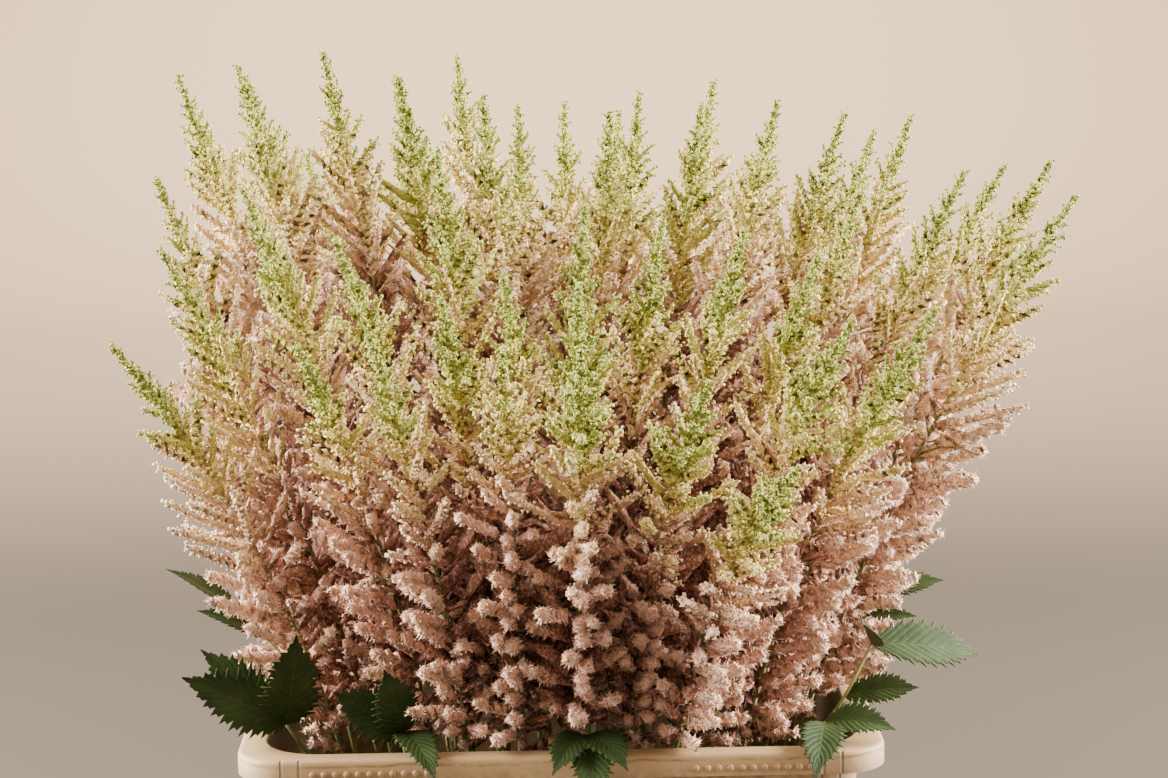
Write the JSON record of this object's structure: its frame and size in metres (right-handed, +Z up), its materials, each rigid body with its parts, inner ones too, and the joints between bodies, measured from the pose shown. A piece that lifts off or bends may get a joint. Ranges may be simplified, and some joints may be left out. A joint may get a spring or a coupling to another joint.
{
  "type": "astilbe plant in a crate",
  "caption": "Bunch of tall flowering stems with pointed feathery plumes and toothed leaves, standing in water in a tapered rectangular crate with a turned-down rim.",
  "frame": {"origin": "middle of the crate's underside, on the surface it stands on", "axes": "+Z up, +X to the right along the crate's long side, +Y to the back"},
  "size_m": [0.6, 0.554, 0.705],
  "materials": {
    "plume": "soft matt florets, salmon pink to cream, with green buds at the tip and on the stalk",
    "leaf": "dark green with a soft sheen and paler veins",
    "crate": "cream polypropylene with brown stains along its rim and edges",
    "water": "still, slightly cloudy water"
  },
  "bodies": {
    "root": {"plume_01": "plume", "plume_02": "plume", "plume_03": "plume", "plume_04": "plume", "plume_05": "plume", "plume_06": "plume", "plume_07": "plume", "plume_08": "plume", "plume_09": "plume", "plume_10": "plume", "plume_11": "plume", "plume_12": "plume", "plume_13": "plume", "plume_14": "plume", "plume_15": "plume", "plume_16": "plume", "plume_17": "plume", "plume_18": "plume", "plume_19": "plume", "plume_20": "plume", "plume_21": "plume", "plume_22": "plume", "plume_23": "plume", "plume_24": "plume", "plume_25": "plume", "plume_26": "plume", "plume_27": "plume", "plume_28": "plume", "plume_29": "plume", "plume_30": "plume", "plume_31": "plume", "plume_32": "plume", "plume_33": "plume", "plume_34": "plume", "plume_35": "plume", "plume_36": "plume", "plume_37": "plume", "plume_38": "plume", "plume_39": "plume", "plume_40": "plume", "plume_41": "plume", "plume_42": "plume", "plume_43": "plume", "plume_44": "plume", "plume_45": "plume", "plume_46": "plume", "plume_47": "plume", "plume_48": "plume", "plume_49": "plume", "plume_50": "plume", "leaf_left_low": "leaf", "leaf_left_high": "leaf", "leaf_front_left": "leaf", "leaf_front_middle": "leaf", "leaf_front_right": "leaf", "leaf_right_low": "leaf", "leaf_right_high": "leaf", "leaf_back": "leaf", "crate": "crate", "water": "water"}
  },
  "joints": []
}
